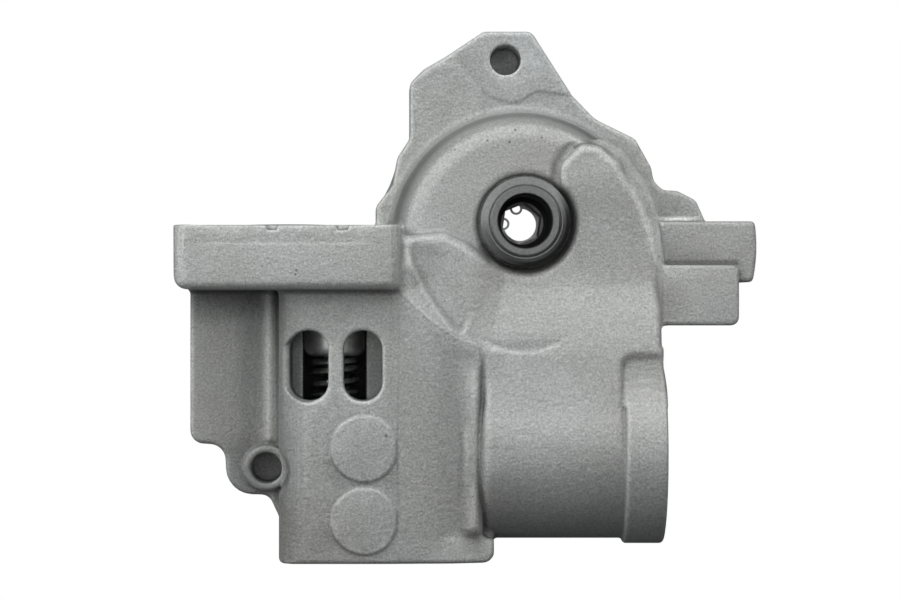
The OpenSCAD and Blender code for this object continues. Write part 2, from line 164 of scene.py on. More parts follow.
class Field:
    def __init__(self, lo, hi, h):
        self.h = h
        self.ax = [np.arange(a, b + h, h, dtype=np.float32) for a, b in zip(lo, hi)]
        self.lo = lo
        self.d = np.full([len(a) for a in self.ax], 40.0, np.float32)

    def window(self, box, pad):
        sl = []
        for a, (lo, hi) in zip(self.ax, box):
            i = int(np.searchsorted(a, lo - pad))
            j = int(np.searchsorted(a, hi + pad))
            sl.append(slice(max(i, 0), max(j, 1)))
        return tuple(sl), [
            a[s].reshape([-1 if k == n else 1 for k in range(3)])
            for n, (a, s) in enumerate(zip(self.ax, sl))
        ]

    def add(self, fn, box, r=0.0):
        sl, xyz = self.window(box, r + 4 * self.h)
        self.d[sl] = join(self.d[sl], fn(*xyz).astype(np.float32), r)

    def cut(self, fn, box, r=0.0):
        sl, xyz = self.window(box, r + 4 * self.h)
        self.d[sl] = both(self.d[sl], -fn(*xyz).astype(np.float32), r)


ALL = ((-110, 75), (-105, 65), (-3, 72))


def box_of(pts, z0, z1):
    p = np.asarray(pts)[:, :2]
    return ((p[:, 0].min(), p[:, 0].max()), (p[:, 1].min(), p[:, 1].max()), (z0, z1))


def prism(f, pts, z0, z1, edge=0.8, fillet=0.0, op="add", draft=0.0, top=None, n=6):
    """A vertical extrusion. top is a function of x and y for a sloped face."""
    out = rounded(pts, n)

    def fn(x, y, z):
        d2 = poly(out, x, y)
        if draft:
            d2 = d2 + (z - z0) * draft
        hi = z1 if top is None else top(x, y)
        return both(d2, np.maximum(z0 - z, z - hi), edge)

    zt = z1 if top is None else z1 + 4
    getattr(f, op)(fn, box_of(out, z0, zt), fillet)


def disc(f, cx, cy, r, z0, z1, edge=0.8, fillet=0.0, op="add", cone=0.0, top=None):
    def fn(x, y, z):
        d2 = np.sqrt((x - cx) ** 2 + (y - cy) ** 2) - r - (z - z0) * cone
        hi = z1 if top is None else top(x, y)
        return both(d2, np.maximum(z0 - z, z - hi), edge)

    rr = max(r, r + (z1 - z0) * cone)
    getattr(f, op)(fn, ((cx - rr, cx + rr), (cy - rr, cy + rr), (z0, z1 + (4 if top else 0))), fillet)


def along_x(f, x0, x1, y, z, r, edge=0.8, fillet=0.0, op="add"):
    def fn(X, Y, Z):
        return both(np.sqrt((Y - y) ** 2 + (Z - z) ** 2) - r, slab(X, x0, x1), edge)

    getattr(f, op)(fn, ((x0, x1), (y - r, y + r), (z - r, z + r)), fillet)


def along_y(f, x, z, y0, y1, r, edge=0.3, fillet=0.0, op="cut"):
    def fn(X, Y, Z):
        return both(np.sqrt((X - x) ** 2 + (Z - z) ** 2) - r, slab(Y, y0, y1), edge)

    getattr(f, op)(fn, ((x - r, x + r), (y0, y1), (z - r, z + r)), fillet)


def prism_y(f, pts, y0, y1, edge=0.8, fillet=0.0, op="add", n=6):
    """An outline in x and z, extruded along y."""
    out = rounded(pts, n)

    def fn(x, y, z):
        return both(poly(out, x, z), slab(y, y0, y1), edge)

    p = out
    getattr(f, op)(fn, ((p[:, 0].min(), p[:, 0].max()), (y0, y1), (p[:, 1].min(), p[:, 1].max())), fillet)


def ramp(x, a, b):
    """0 before a, 1 after b, smooth between."""
    t = np.clip((x - a) / (b - a), 0, 1)
    return t * t * (3 - 2 * t)


def housing_field(h):
    f = Field((-103.5, -100.5, -2.0), (68.5, 60.0, 69.5), h)

    # ---- ear plate behind the dome, slightly raised on its left
    plate = [
        (-11.2, 56.5, 2), (2.9, 56.5, 3), (14.9, 37.7, 5), (21.6, 30.8, 9),
        (33.4, 25.0, 4), (38.1, 16.6, 4), (38.9, 12.6, 3), (41.4, 10.0, 3),
        (45.6, 9.8, 4), (51.2, 7.0, 4), (54.3, 0, 0), (53, -14, 5), (40.6, -29.0, 2),
        (37.6, -32, 0), (37.6, -44, 0), (-43, -44, 0),
        (-43, 5, 3), (-38.1, 11.3, 4), (-36.6, 19.5, 3), (-33.0, 25, 4),
        (-33.0, 41.2, 3.5), (-29, 45.3, 4), (-22.6, 49, 5),
    ]

    def plate_top(x, y):
        boss = poly(rounded([(-26, 60, 0), (-13.5, 44.5, 4), (-9.5, 37.2, 3), (-1.5, 35.2, 6),
                             (4.5, 39.2, 5), (16, 37.2, 0), (20, 60, 0)]), x, y)
        left = poly(rounded([(-60, 43, 0), (-28.7, 44.4, 2), (-24, 47.2, 3), (-18.6, 46.8, 2.5), (-16.4, 43.6, 3),
                             (-12, 39, 3), (-12, 20, 0), (-60, -20, 0)]), x, y)
        return 21.8 + 0.45 * soft(boss, 0.3 + 1.9 * ramp(-x, 1, 9) * ramp(y, 38, 43)) + 0.35 * soft(left, 1.1)

    prism(f, plate, 6, 22.5, edge=0.9, top=plate_top, draft=0.012)
    disc(f, -0.4, -4.4, 41.4, 0, 12, edge=0.6, fillet=1.0)
    disc(f, -4.8, 48, 8.3, 0, 14, edge=0.6, fillet=1.0)
    disc(f, 45.5, 1.5, 6.6, 0, 14, edge=0.6, fillet=1.0)

    # ---- plate on the left: outer land, upright rib, groove beside the block
    left = [
        (-97, -8, 0), (-97, -64.2, 4), (-86.9, -64.8, 4.5), (-86.3, -79, 8),
        (-74, -79.4, 3.5), (-71, -86, 0), (-60, -86, 0), (-60, -8, 0),
    ]

    def left_top(x, y):
        land = ramp(y, -64, -60)
        rib = np.exp(-(((x + 73.6) / np.where(x < -73.6, 1.6, 1.9)) ** 2)) * ramp(y, -65, -62.5)
        dip = np.exp(-(((x + 71.2) / 1.0) ** 2))
        side = ramp(x, -83, -75.5) * 0.7
        return 27.4 + 0.0 * land - side + 1.5 * rib - 0.5 * dip

    prism(f, left, 16, 28, edge=1.1, top=left_top, draft=0.01)
    prism(f, [(-97, -12, 0), (-97, -18, 0), (-68, -18, 0), (-68, -12, 0)], 4, 20, edge=0.8, fillet=1.5)
    disc(f, -74.6, -71.3, 6.6, 4, 28.6, edge=0.9, fillet=1.2)
    prism(f, [(-76, -68, 0), (-66, -62, 0), (-66, -78, 0), (-76, -76, 0)], 4, 24, edge=0.8, fillet=2.0)

    # ---- rotor dome with its wide shoulder
    def dome(x, y, z):
        r = np.sqrt((x + 0.7) ** 2 + (y + 5.3) ** 2)
        a = np.degrees(np.arctan2(y + 5.3, x + 0.7))
        up = np.clip(z - 41.5, 0, 8)
        rim = 38.3 - 4.5 * ramp(-a, -50, -36) - 0.16 * (z - 22) - 0.052 * up * up
        return both((r - rim) / np.sqrt(1 + (0.16 + 0.104 * up) ** 2), slab(z, 8, 48.0), 2.4)

    f.add(dome, ((-40, 39), (-44, 34), (8, 48)), 2.2)

    # ---- suction side: kidney round the hub, then a roof that climbs to the
    # crown of the tube
    suction = [
        (15.6, 22.6, 3.5), (21.3, 22.2, 6), (27.4, 17.0, 5), (32.6, 4, 25),
        (36.9, -10, 30), (39.1, -26, 20), (39.2, -39.2, 0.5), (28.2, -39.4, 2.6), (28.2, -66, 0),
        (-12.4, -66, 0), (-12.6, -40, 0), (-16, -33, 4), (-14.2, -20, 8), (-12.6, -13, 0),
        (-6, -8, 0), (4, 4, 0), (9.2, 10.8, 1.5), (9.4, 16.4, 4),
    ]
    roof = profile([(30, 51.5), (10, 51.2), (2, 50.5), (-6, 50.0), (-13, 49.9), (-18, 50.4), (-28, 53.3), (-33, 54.6),
                    (-38, 55.5), (-45, 56.4), (-51.5, 57.6), (-59, 59.5), (-66, 60.2), (-80, 60.2)], 1.6)
    prism(f, suction, 20, 60.6, edge=2.4, fillet=0.8, top=lambda x, y: roof(y) + 0 * x, draft=0.012)
    # its outer flank slopes down towards the plate
    flank_xy = rounded([(15.8, 22.4, 2), (22.6, 24.2, 5), (28.8, 20.8, 5), (35.0, 11.4, 8), (37.8, 5.2, 8),
                        (38.6, -1, 12), (39.2, -10, 12), (39.3, -31, 1), (18, -31, 0), (11, 2, 0)])

    def flank(x, y, z):
        d2 = poly(flank_xy, x, y)
        t = 4.6 - 2.4 * ramp(-y, -6, 6) + d2
        t = np.where(t < -0.8, 0, np.where(t > 0.8, t, (t + 0.8) ** 2 / 3.2))
        return both(d2, np.maximum(22 - z, z - 49.6 + 1.1 * t), 1.2)

    f.add(flank, box_of(flank_xy, 22, 50), 1.0)
    # shallow hollow along its left foot
    path = [(14.6, 22.1), (13.0, 21.3), (10.8, 19.2), (9.1, 15.8), (8.9, 11.6)]

    def ditch(x, y, z):
        d = 99.0
        for (ax, ay), (bx, by) in zip(path[:-1], path[1:]):
            t = np.clip(((x - ax) * (bx - ax) + (y - ay) * (by - ay)) / ((bx - ax) ** 2 + (by - ay) ** 2), 0, 1)
            d = np.minimum(d, np.hypot(x - ax - t * (bx - ax), y - ay - t * (by - ay)))
        return np.sqrt(d * d + (z - 48.4) ** 2) - 1.6

    f.cut(ditch, ((6, 18), (9, 25), (46, 52)), 0.7)

    # ---- web between the dome, the flange and the hub, with a leaf-shaped dip
    web = [
        (-40, -3.6, 0), (-32.6, -3.4, 4), (-23, -2.6, 6), (-16.5, -5.6, 5),
        (-4, -14, 0), (-4, -40, 0), (-40, -40, 0),
    ]
    leaf = rounded([(-33.0, -5.2, 3), (-32.0, -12, 6), (-28.0, -19.8, 10), (-24.2, -25.6, 8), (-21.0, -29.6, 3),
                    (-18.2, -32.8, 1.5), (-16.0, -27.5, 8), (-15.0, -19.6, 14), (-15.7, -12.4, 6), (-20.4, -4.4, 6)])
    rise = profile([(-60, 58.6), (-36, 58.2), (-32, 57.2), (-15, 52.8), (-12, 51.6), (-9, 50.2), (-5, 47.4), (0, 46)], 1.4)

    # the web's front slopes up to the block along a diagonal
    block_xy = rounded([(-70.1, -97, 1.5), (-8.8, -97, 3.4), (-8.8, -90.6, 0.5), (-12.2, -89.8, 1.5), (-12.2, -36, 0),
                        (-19.6, -33.6, 4), (-27.5, -28.0, 10), (-35.5, -20.5, 4), (-36, -14, 0), (-70.1, -14, 0)])
    roll = profile([(-80, 60.4), (-66, 60.9), (-50, 60.9), (-36, 60.5), (-29, 59.8), (-25, 59.1), (-22, 57.9),
                    (-19.4, 56.7), (-17, 56.4), (-14, 56.1), (-12.6, 55.2), (-11, 55.0)], 1.1)

    def web_top(x, y):
        t = poly(block_xy, x, y)
        slope = roll(x) - 0.1 - np.where(t > 0, 0.46 * t, -2.0 * t)
        base = rise(x) - 0.12 * (np.maximum(y, -31) + 12) * ramp(x, -31, -21)
        k = np.clip(0.5 + (slope - base) / 2.4, 0, 1)
        top = base + (slope - base) * k + 1.2 * k * (1 - k)
        dl = poly(leaf, x, y)
        west = ramp(-x - 0.5 * y, 26, 33)
        deep = (0.26 + 0.50 * west) * (0.5 + 0.5 * ramp(-y, 5.5, 11))
        lip = np.exp(-(((dl - 1.0) / 0.8) ** 2)) * west * ramp(-y, 6, 10) * ramp(-x, 18.6, 22.0)
        return top - deep * soft(dl, 1.7 - 0.8 * west) + 0.28 * lip

    prism(f, web, 18, 60.6, edge=2.8, fillet=1.6, draft=0.02, top=web_top)

    # ---- relief block: its front rolls off towards the ridge beside the tube
    foot_roll = profile([(-80, 60.4), (-66, 60.9), (-50, 60.9), (-36, 60.5), (-29, 59.8), (-24, 58.8), (-19, 57.2),
                         (-14, 55.4), (-8, 53.0)], 1.6)

    def front_z(x, y):
        # a ridge stands beside the tube and ends in a rounded foot
        w = ramp(y, -90.0, -86.8) * (1 - ramp(y, -50.0, -37.0))
        low = 1 - ramp(y, -91.5, -87.5)
        ridge = 2.0 * np.exp(-(((x + 14.3) / np.where(x < -14.3, 2.4, 1.6)) ** 2)) * w
        rise = 0.2 * np.clip(-y - 89.5, 0, 7) * ramp(x, -30, -19)
        return roll(x) * (1 - low) + foot_roll(x) * low + ridge + rise

    def block(x, y, z):
        front = front_z(x, y)
        d = both(poly(block_xy, x, y), z - front, 1.4)
        d = both(d, both(-70.1 - x, z - front, 7.5), 0)
        return np.maximum(d, -z)

    f.add(block, ((-71, -12), (-97, -14), (0, 62)), 1.2)
    # scalloped round the lower ear's boss
    disc(f, -74.6, -71.3, 6.5, 28.8, 64, edge=0.5, op="cut", cone=0.03, fillet=1.0)
    # lower right corner of the block
    prism(f, [(-30, -60, 0), (-8.9, -60, 0), (-8.8, -97.0, 3.4), (-30, -97.2, 0)], 4, 48, edge=1.6)

    # ---- suction tube with its soft left shoulder, and the collar
    def tube(x, y, z):
        r = np.sqrt((y + 66.5) ** 2 + (z - 36) ** 2)
        return both(r - 24.6, slab(x, -12.6, 34), 2.6)

    f.add(tube, ((-13, 34), (-92, -41), (10, 61)), 1.0)
    # the narrow valley between the ridge and the tube
    prism(f, [(-17, -33.5, 0), (-8, -33.5, 0), (-8, -88, 0), (-17, -88, 0)], 20, 54.8, edge=0.5, fillet=1.6,
          top=lambda x, y: np.maximum(54.6 + 0.6 * ramp(y, -45, -38.5) - 1.8 * ramp(y, -37.5, -33.6) - 8 * ramp(-y, 74, 90),
                                      33.2 + np.sqrt(np.maximum(24.6 ** 2 - (y + 66.5) ** 2, 0))) + 0 * x)

    def collar(x, y, z):
        r = np.sqrt((y + 66.5) ** 2 + (z - 36) ** 2)
        return both(r - 26.1, slab(x, 28.3, 40.1), 1.0)

    f.add(collar, ((28, 40.5), (-93, -40), (9, 63)), 0.8)
    # where the collar runs into the suction side
    neck = profile([(-60, 61.0), (-54, 58.7), (-52, 57.6), (-50.4, 56.7), (-47.8, 55.6), (-44.6, 54.8),
                    (-41.5, 54.5), (-36, 54.5)], 0.6)

    def root(x, y, z):
        d = np.maximum(np.maximum(27.6 - x, x - 39.2 - 0.8 * ramp(-y, 40, 49)), np.maximum(y + 36, -52.5 - y))
        return both(d, np.maximum(30 - z, z - neck(y)), 1.2)

    f.add(root, ((27, 39), (-53, -36), (30, 58)), 0.8)
    # root of the tube: flares down to the plate
    prism(f, [(-14, -30, 0), (36, -30, 0), (30, -48, 4), (-14, -50, 0)], 8, 40, edge=1.5, fillet=3.0)

    # ---- pressure flange
    def flange(x, y, z):
        d = poly(rounded([(-99.7, 10, 6), (-99.7, 66, 5.0), (-35.6, 66, 4.6), (-35.6, 10, 4)]), x, z)
        e = slab(y, -19.5, -1.2)
        low = np.maximum(-(y + 19.5), 0)
        # sharp at the machined face, round at the back
        back = both(d, -19.5 - y, 2.6)
        # its front lower left corner is cut round
        corner = poly(rounded([(-99.9, 2, 0), (-99.7, -19.7, 4.8), (-30, -19.7, 0), (-30, 2, 0)]), x, y)
        fold = 0.28 * ramp(y, -7.2, -6.0) * ramp(z, 60, 63) * ramp(-x, 40, 48) * ramp(x, -96, -90)
        return both(both(back, corner, 0.6), y + 1.2, 0.35) + fold

    f.add(flange, ((-101.5, -35), (-20, -1), (9, 67)), 2.0)

    # ---- stepped arm
    def arm_high(x, y, z):
        d = poly(rounded([(34, 12, 0), (34, 42, 0), (66.9, 42, 1.3), (66.9, 12, 3)]), x + 0.011 * (y + 7.0) ** 2, z)
        return both(d, slab(y, -17.3, 0.25), 1.1)

    f.add(arm_high, ((34, 67.2), (-17.5, 0.5), (12, 42)), 1.0)

    def arm_low(x, y, z):
        d = poly(rounded([(34, -12.4, 0), (61.5, -12.4, 2.4), (61.5, -29.7, 2.4), (34, -29.7, 0)]), x, y)
        return both(d, slab(z, 10, 46), 0.9)

    f.add(arm_low, ((34, 61), (-30, -12), (10, 46)), 0.9)
    along_y(f, 44.5, 31, -1, 1.45, 7, edge=0.25, op="add")
    # strip along the body beside the arm
    prism(f, [(34, 0, 0), (38.6, -1.0, 1), (40.3, -12, 4), (40.9, -29.6, 0.5), (34, -30.2, 0)], 20, 43.4, edge=0.8, fillet=0.6)

    # ============================ hollows ============================
    # annular groove round the hub, its outer wall sloping back
    def groove(x, y, z):
        up = np.clip(z - 46, 0, 8)
        r = np.sqrt((x - 0.10 * up) ** 2 + (y + 0.16 * up) ** 2)
        return both(r - 13.6 - 0.24 * (z - 46), 44.6 - z, 0.9)

    f.cut(groove, ((-22, 22), (-22, 22), (44, 66)), 1.4)
    disc(f, 0, 0, 12.9, 40, 46, edge=0.3, op="add", fillet=0.6)

    # crescent pressed into the plateau
    def crescent(x, y, z):
        a = np.sqrt((x + 0.4) ** 2 + (y + 15.4) ** 2) - 21.8
        top = roof(y) - 0.62 * soft(a, 0.4) * ramp(-y, 32.4, 36.6)
        return both(np.maximum(np.maximum(a, y + 32.2), -10.8 - x), top - z, 0.0)

    f.cut(crescent, ((-20, 18), (-38, -31), (50, 60)), 0.3)

    # rotor chamber, cover recess, bores of bush and shaft
    disc(f, 0, -3.9, 28.6, 1, 37, edge=0.0, op="cut", fillet=0.3)
    disc(f, -0.4, -4.4, 38.5, -3, 9, edge=0.3, op="cut", fillet=0.5)
    disc(f, 0, 0, 11.8, 30, 46, edge=0.2, op="cut", fillet=0.2)
    disc(f, 0, 0, 11.8, 40, 66, edge=0.0, op="cut", fillet=0.3)

    def sector(ri, ro, a0, a1, z0, z1, cx=0.0, cy=-2.0):
        mid, half = math.radians((a0 + a1) / 2), math.radians((a1 - a0) / 2)
        rm, rw = (ri + ro) / 2, (ro - ri) / 2

        def fn(x, y, z):
            r = np.sqrt((x - cx) ** 2 + (y - cy) ** 2)
            a = np.arctan2(y - cy, x - cx) - mid
            a = np.abs((a + math.pi) % (2 * math.pi) - math.pi)
            d2 = np.maximum(np.abs(r - rm) - rw, (a - half) * rm)
            return both(d2, slab(z, z0, z1), 0.6)

        f.cut(fn, ((cx - ro, cx + ro), (cy - ro, cy + ro), (z0, z1)), 0.3)

    sector(14.2, 24.4, -78, 62, 36, 40)
    sector(19.8, 23.8, -74, 46, 36, 46.4)
    sector(14.2, 24.4, 118, 262, 36, 39.2)
    prism(f, [(7.5, -20.5, 1), (21.5, -13, 1), (24.5, -36, 1), (7.5, -36, 1)], 39, 46.8, edge=0.8, op="cut")
    prism(f, [(7, -33, 1), (25, -33, 1), (27, -52, 1), (7, -52, 1)], 38.4, 50, edge=0.8, op="cut")
    prism(f, [(-24, -7, 1), (-15, -9, 1), (-13, -20, 1), (-22, -20, 1)], 36, 46.6, edge=0.8, op="cut")

    # suction bore
    along_x(f, -6, 42, -66.5, 36, 18, edge=1.5, op="cut", fillet=0.4)
    along_x(f, 16, 46, -66.5, 36, 21, edge=0.4, op="cut", fillet=0.9)
    along_x(f, 31, 34, -66.5, 36, 23, edge=0.3, op="cut", fillet=0.2)

    # gallery, outlet port with its seal groove
    along_x(f, -96, -18, -12, 43, 5.5, edge=0.3, op="cut")
    along_x(f, -106, -94.9, -12, 43, 6.55, edge=0.0, op="cut", fillet=0.5)
    along_y(f, -68, 43, -14, 3, 8.5, fillet=0.4)

    def seal_groove(x, y, z):
        r = np.sqrt((x + 68) ** 2 + (z - 43) ** 2)
        return both(np.abs(r - 12.1) - 1.5, slab(y, -3.4, 3), 0.2)

    f.cut(seal_groove, ((-82, -54), (-4, 0), (29, 57)), 0.2)

    # relief bore
    along_y(f, -54.5, 38, -106, -25.5, 9.0, edge=0.2, fillet=0.3)
    along_y(f, -54.5, 38, -32, -9, 7.5, edge=0.3)
    along_y(f, -54.5, 38, -106, -87, 10.5, edge=0.2, fillet=0.5)
    along_y(f, -54.5, 38, -94.9, -93.5, 11.5, edge=0.0)
    # slots: the left one is cut back along its outer edge
    for cx in (-61.4, -46.2):
        prism(f, [(cx - 5.5, -51, 5.4), (cx + 5.5, -51, 5.4), (cx + 5.5, -31, 5.4), (cx - 5.5, -31, 5.4)],
              40, 68, edge=0.0, op="cut", fillet=0.75, n=10)

    prism(f, [(-68.6, -51.3, 7.5), (-60.0, -51.2, 2), (-60.0, -33, 2), (-68.6, -33, 5)],
          58.0, 68, edge=0.0, op="cut", fillet=0.8, n=10)

    # tapped holes, front notch
    for cx in (-93, -43):
        for cz in (18, 57):
            along_y(f, cx, cz, -16, 3, 3.4, fillet=0.4)
    for xa, xb in ((-73, -70.2), (-53.4, -50.3)):
        prism(f, [(xa, -2.7, 0), (xb, -2.7, 0), (xb, 2, 0), (xa, 2, 0)], 61, 70, edge=0.6, op="cut", fillet=0.5)

    # blind holes of the ears, bolt hole of the arm
    disc(f, -4.8, 48, 4.5, 4, 40, edge=0.3, op="cut", fillet=0.35)
    disc(f, -74.6, -71.3, 4.5, 16, 40, edge=0.3, op="cut", fillet=0.5)
    along_y(f, 44.5, 31, -36, 6, 4.5, fillet=0.4)

    # holes of the cover's screws and dowels
    for a in (20, 75, 140, 200, 255, 318):
        x0, y0 = -0.4 + 33.6 * math.cos(math.radians(a)), -4.4 + 33.6 * math.sin(math.radians(a))
        disc(f, x0, y0, 2.5, 8, 20.5, edge=0.2, op="cut")
    for a in (48, 228):
        x0, y0 = -0.4 + 33.6 * math.cos(math.radians(a)), -4.4 + 33.6 * math.sin(math.radians(a))
        disc(f, x0, y0, 2.5, 8, 16, edge=0.2, op="cut")

    # pockets in the rear of the block
    for cx in (-59.5, -43.5, -27.5):
        prism(f, [(cx - 6.5, -91, 3), (cx + 6.5, -91, 3), (cx + 6.5, -47, 3), (cx - 6.5, -47, 3)],
              -4, 22, edge=2.0, op="cut", fillet=0.8)

    # the two ejector lands on the block's front
    for cy in (-64.4, -84.9):
        def land(x, y, z, cy=cy):
            r = np.sqrt((x + 45.9) ** 2 + (y - cy) ** 2)
            top = 61.25 - 0.035 * (x + 45.9)
            return both(r - 9.35, np.maximum(z - top, 52 - z), 0.15)
        f.add(land, ((-56, -36), (cy - 10, cy + 10), (52, 62)), 0.0)

    return f


def mesh_from_field(f, name, target):
    d = f.d
    for k, (lo, hi) in enumerate(zip(*np.array(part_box("pump_housing")) * 1000.0)):
        u = f.ax[k].reshape([-1 if k == n else 1 for n in range(3)])
        d = np.maximum(d, np.maximum(lo + 0.02 - u, u - hi + 0.02))
    d = np.clip(d, -4 * f.h, 4 * f.h)
    grid = openvdb.FloatGrid(4 * f.h)
    grid.copyFromArray(d, tolerance=0.0)
    pts, tris, quads = grid.convertToPolygons(isovalue=0.0, adaptivity=0.0)
    pts = pts * f.h + np.array(f.lo)
    me = bpy.data.meshes.new(name)
    nq, nt = len(quads), len(tris)
    me.vertices.add(len(pts))
    me.vertices.foreach_set("co", (pts / 1000.0).astype(np.float32).ravel())
    me.loops.add(nq * 4 + nt * 3)
    me.loops.foreach_set("vertex_index", np.concatenate([quads.ravel(), tris.ravel()]).astype(np.int32))
    me.polygons.add(nq + nt)
    starts = np.concatenate([np.arange(nq) * 4, nq * 4 + np.arange(nt) * 3]).astype(np.int32)
    me.polygons.foreach_set("loop_start", starts)
    me.update(calc_edges=True)
    me.validate()
    print("raw mesh", name, len(pts), nq, nt)
    ob = bpy.data.objects.new(name, me)
    scene.collection.objects.link(ob)
    if nq * 2 + nt > target:
        mod = ob.modifiers.new("dec", "DECIMATE")
        mod.ratio = target / (nq * 2 + nt)
        dg = bpy.context.evaluated_depsgraph_get()
        new = bpy.data.meshes.new_from_object(ob.evaluated_get(dg))
        ob.modifiers.clear()
        ob.data = new
        bpy.data.meshes.remove(me)
        new.name = name
        me = new
    return ob


def mark_edges(f, me):
    """Stores on each vertex how far the surface bends outwards (+) or inwards
    (-) within about a millimetre, in millimetres."""
    d = np.clip(f.d, -6, 6)
    k = np.exp(-0.5 * (np.arange(-4, 5) * f.h / 0.85) ** 2).astype(np.float32)
    k /= k.sum()
    for ax in range(3):
        acc = np.zeros_like(d)
        for n, w in zip(range(-4, 5), k):
            acc += w * np.roll(d, n, axis=ax)
        d = acc
    co = np.empty(len(me.vertices) * 3, np.float32)
    me.vertices.foreach_get("co", co)
    g = (co.reshape(-1, 3) * 1000.0 - np.array(f.lo, np.float32)) / f.h
    i = np.clip(np.floor(g).astype(int), 0, np.array(d.shape) - 2)
    t = g - i
    val = np.zeros(len(g), np.float32)
    for dx in (0, 1):
        for dy in (0, 1):
            for dz in (0, 1):
                w = np.abs(1 - dx - t[:, 0]) * np.abs(1 - dy - t[:, 1]) * np.abs(1 - dz - t[:, 2])
                val += w * d[i[:, 0] + dx, i[:, 1] + dy, i[:, 2] + dz]
    at = me.attributes.new("edge", "FLOAT", "POINT")
    at.data.foreach_set("value", val)
    print("edge", np.percentile(val, (1, 10, 50, 90, 99)).round(3))


def arc(cx, cy, r, a0, a1, n=24):
    return [(cx + r * math.cos(math.radians(a0 + (a1 - a0) * k / n)),
             cy + r * math.sin(math.radians(a0 + (a1 - a0) * k / n))) for k in range(n + 1)]


# lines where light (+) or shade (-) is painted onto the casting: a line in x and y,
# its half-width in mm, the gain, and the heights it applies to
PAINTED_LIGHT_AND_SHADE = [
    ([(21.4, 18.7), (24.5, 16.4), (26.8, 13.7), (29.8, 9.0), (32.6, 4.1), (35.6, -5.3), (37.4, -11.6)], 0.8, 0.30, 44, 52),
    ([(29.0, 17.5), (32.2, 12.6), (35.2, 6.0)], 1.6, 0.17, 26, 52),
    ([(34.5, 14.0), (36.6, 9.0), (37.8, 4.2), (38.4, -5.2), (38.8, -14.0)], 2.0, 0.32, 26, 52),
    ([(24.6, 20.2), (27.4, 16.2), (29.6, 11.2), (31.4, 7.6)], 1.2, 0.20, 30, 50),
    ([(39.0, -3), (39.6, -12), (39.9, -20), (39.9, -31)], 1.2, 0.40, 20, 49),
    ([(39.2, -14), (39.4, -31)], 1.0, 0.45, 20, 49),
    ([(-66.8, -24), (-66.8, -95)], 3.6, -0.41, 30, 62),
    ([(-72.9, -22), (-72.9, -40)], 1.15, 1.0, 20, 30),
    ([(-73.4, -42), (-73.4, -62)], 0.9, 0.10, 20, 30),
    ([(-71.9, -22), (-71.9, -42)], 0.9, 0.75, 20, 30),
    ([(-76, -18.6), (-40, -18.6)], 1.2, -0.20, 50, 66),
    ([(-92, -11.5), (-44, -11.5)], 4.5, 0.045, 60, 67),
    ([(-64, -92), (-30, -92)], 3.5, 0.06, 50, 62),
    ([(-22, -92.5), (-14, -92.5)], 3.0, 0.07, 50, 62),
    ([(34.5, -58), (34.5, -72)], 5.0, -0.07, 40, 63),
    ([(-2, -50.5), (24, -50.5)], 4.0, -0.04, 50, 62),
    ([(-71.6, -24), (-71.6, -64)], 1.2, 0.85, 20, 29),
    ([(-86, -27), (-86, -42)], 8.0, 0.08, 20, 30),
    ([(-82, -65), (-80, -73)], 5.0, -0.23, 20, 30),
    ([(-19.8, -60), (-19.8, -84)], 2.4, -0.20, 50, 62),
    ([(-15.4, -38), (-15.4, -88)], 1.3, -0.10, 50, 62),
    ([(-12.4, -42), (-12.4, -86)], 1.0, -0.25, 50, 62),
    ([(-17.6, -87.6), (-16.8, -90.4), (-13.4, -91.2)], 1.1, -0.28, 44, 62),
    (arc(-45.9, -64.4, 9.7, -160, 15), 0.6, -0.24, 56, 62),
    (arc(-45.9, -84.9, 9.7, -160, 15), 0.6, -0.24, 56, 62),
    (arc(-0.7, -5.3, 31.6, 50, 185), 1.3, -0.10, 44, 49),
    ([(-33.6, -19), (-33.6, -5)], 1.4, 0.25, 50, 63),
    (arc(0.1, -0.1, 13.6, -150, 50), 1.3, -0.50, 40, 48),
    (arc(0.0, 0.0, 12.3, -120, 40), 0.9, -0.45, 40, 48),
    (arc(0.0, -0.4, 15.0, -150, 35), 1.1, -0.22, 46, 53),
    ([(-4.9, 48), (-4.7, 48)], 6.0, 1.0, 3, 18),
    ([(-74.7, -71.3), (-74.5, -71.3)], 6.0, 0.8, 15, 23),
]


# stores on each vertex the painted light (+) and shade (-) from the table of lines above
def mark_painted_light_and_shade(me):
    co = np.empty(len(me.vertices) * 3, np.float32)
    me.vertices.foreach_get("co", co)
    x, y, z = (co.reshape(-1, 3) * 1000.0).T
    val = np.zeros(len(x), np.float32)
    for line, half, gain, z0, z1 in PAINTED_LIGHT_AND_SHADE:
        d = np.full(len(x), 1e6, np.float32)
        for (ax, ay), (bx, by) in zip(line[:-1], line[1:]):
            t = np.clip(((x - ax) * (bx - ax) + (y - ay) * (by - ay)) / ((bx - ax) ** 2 + (by - ay) ** 2), 0, 1)
            d = np.minimum(d, (x - ax - t * (bx - ax)) ** 2 + (y - ay - t * (by - ay)) ** 2)
        val += gain * np.exp(-d / (half * half)) * ramp(z, z0 - 1, z0) * (1 - ramp(z, z1, z1 + 1))
    at = me.attributes.new("painted_light_and_shade", "FLOAT", "POINT")
    at.data.foreach_set("value", val.astype(np.float32))


def volume_sign(me):
    me.calc_loop_triangles()
    n = len(me.loop_triangles)
    idx = np.empty(n * 3, np.int32)
    me.loop_triangles.foreach_get("vertices", idx)
    co = np.empty(len(me.vertices) * 3, np.float32)
    me.vertices.foreach_get("co", co)
    t = co.reshape(-1, 3)[idx.reshape(-1, 3)].astype(float)
    return float(np.einsum("ij,ij->i", t[:, 0], np.cross(t[:, 1], t[:, 2])).sum() / 6)


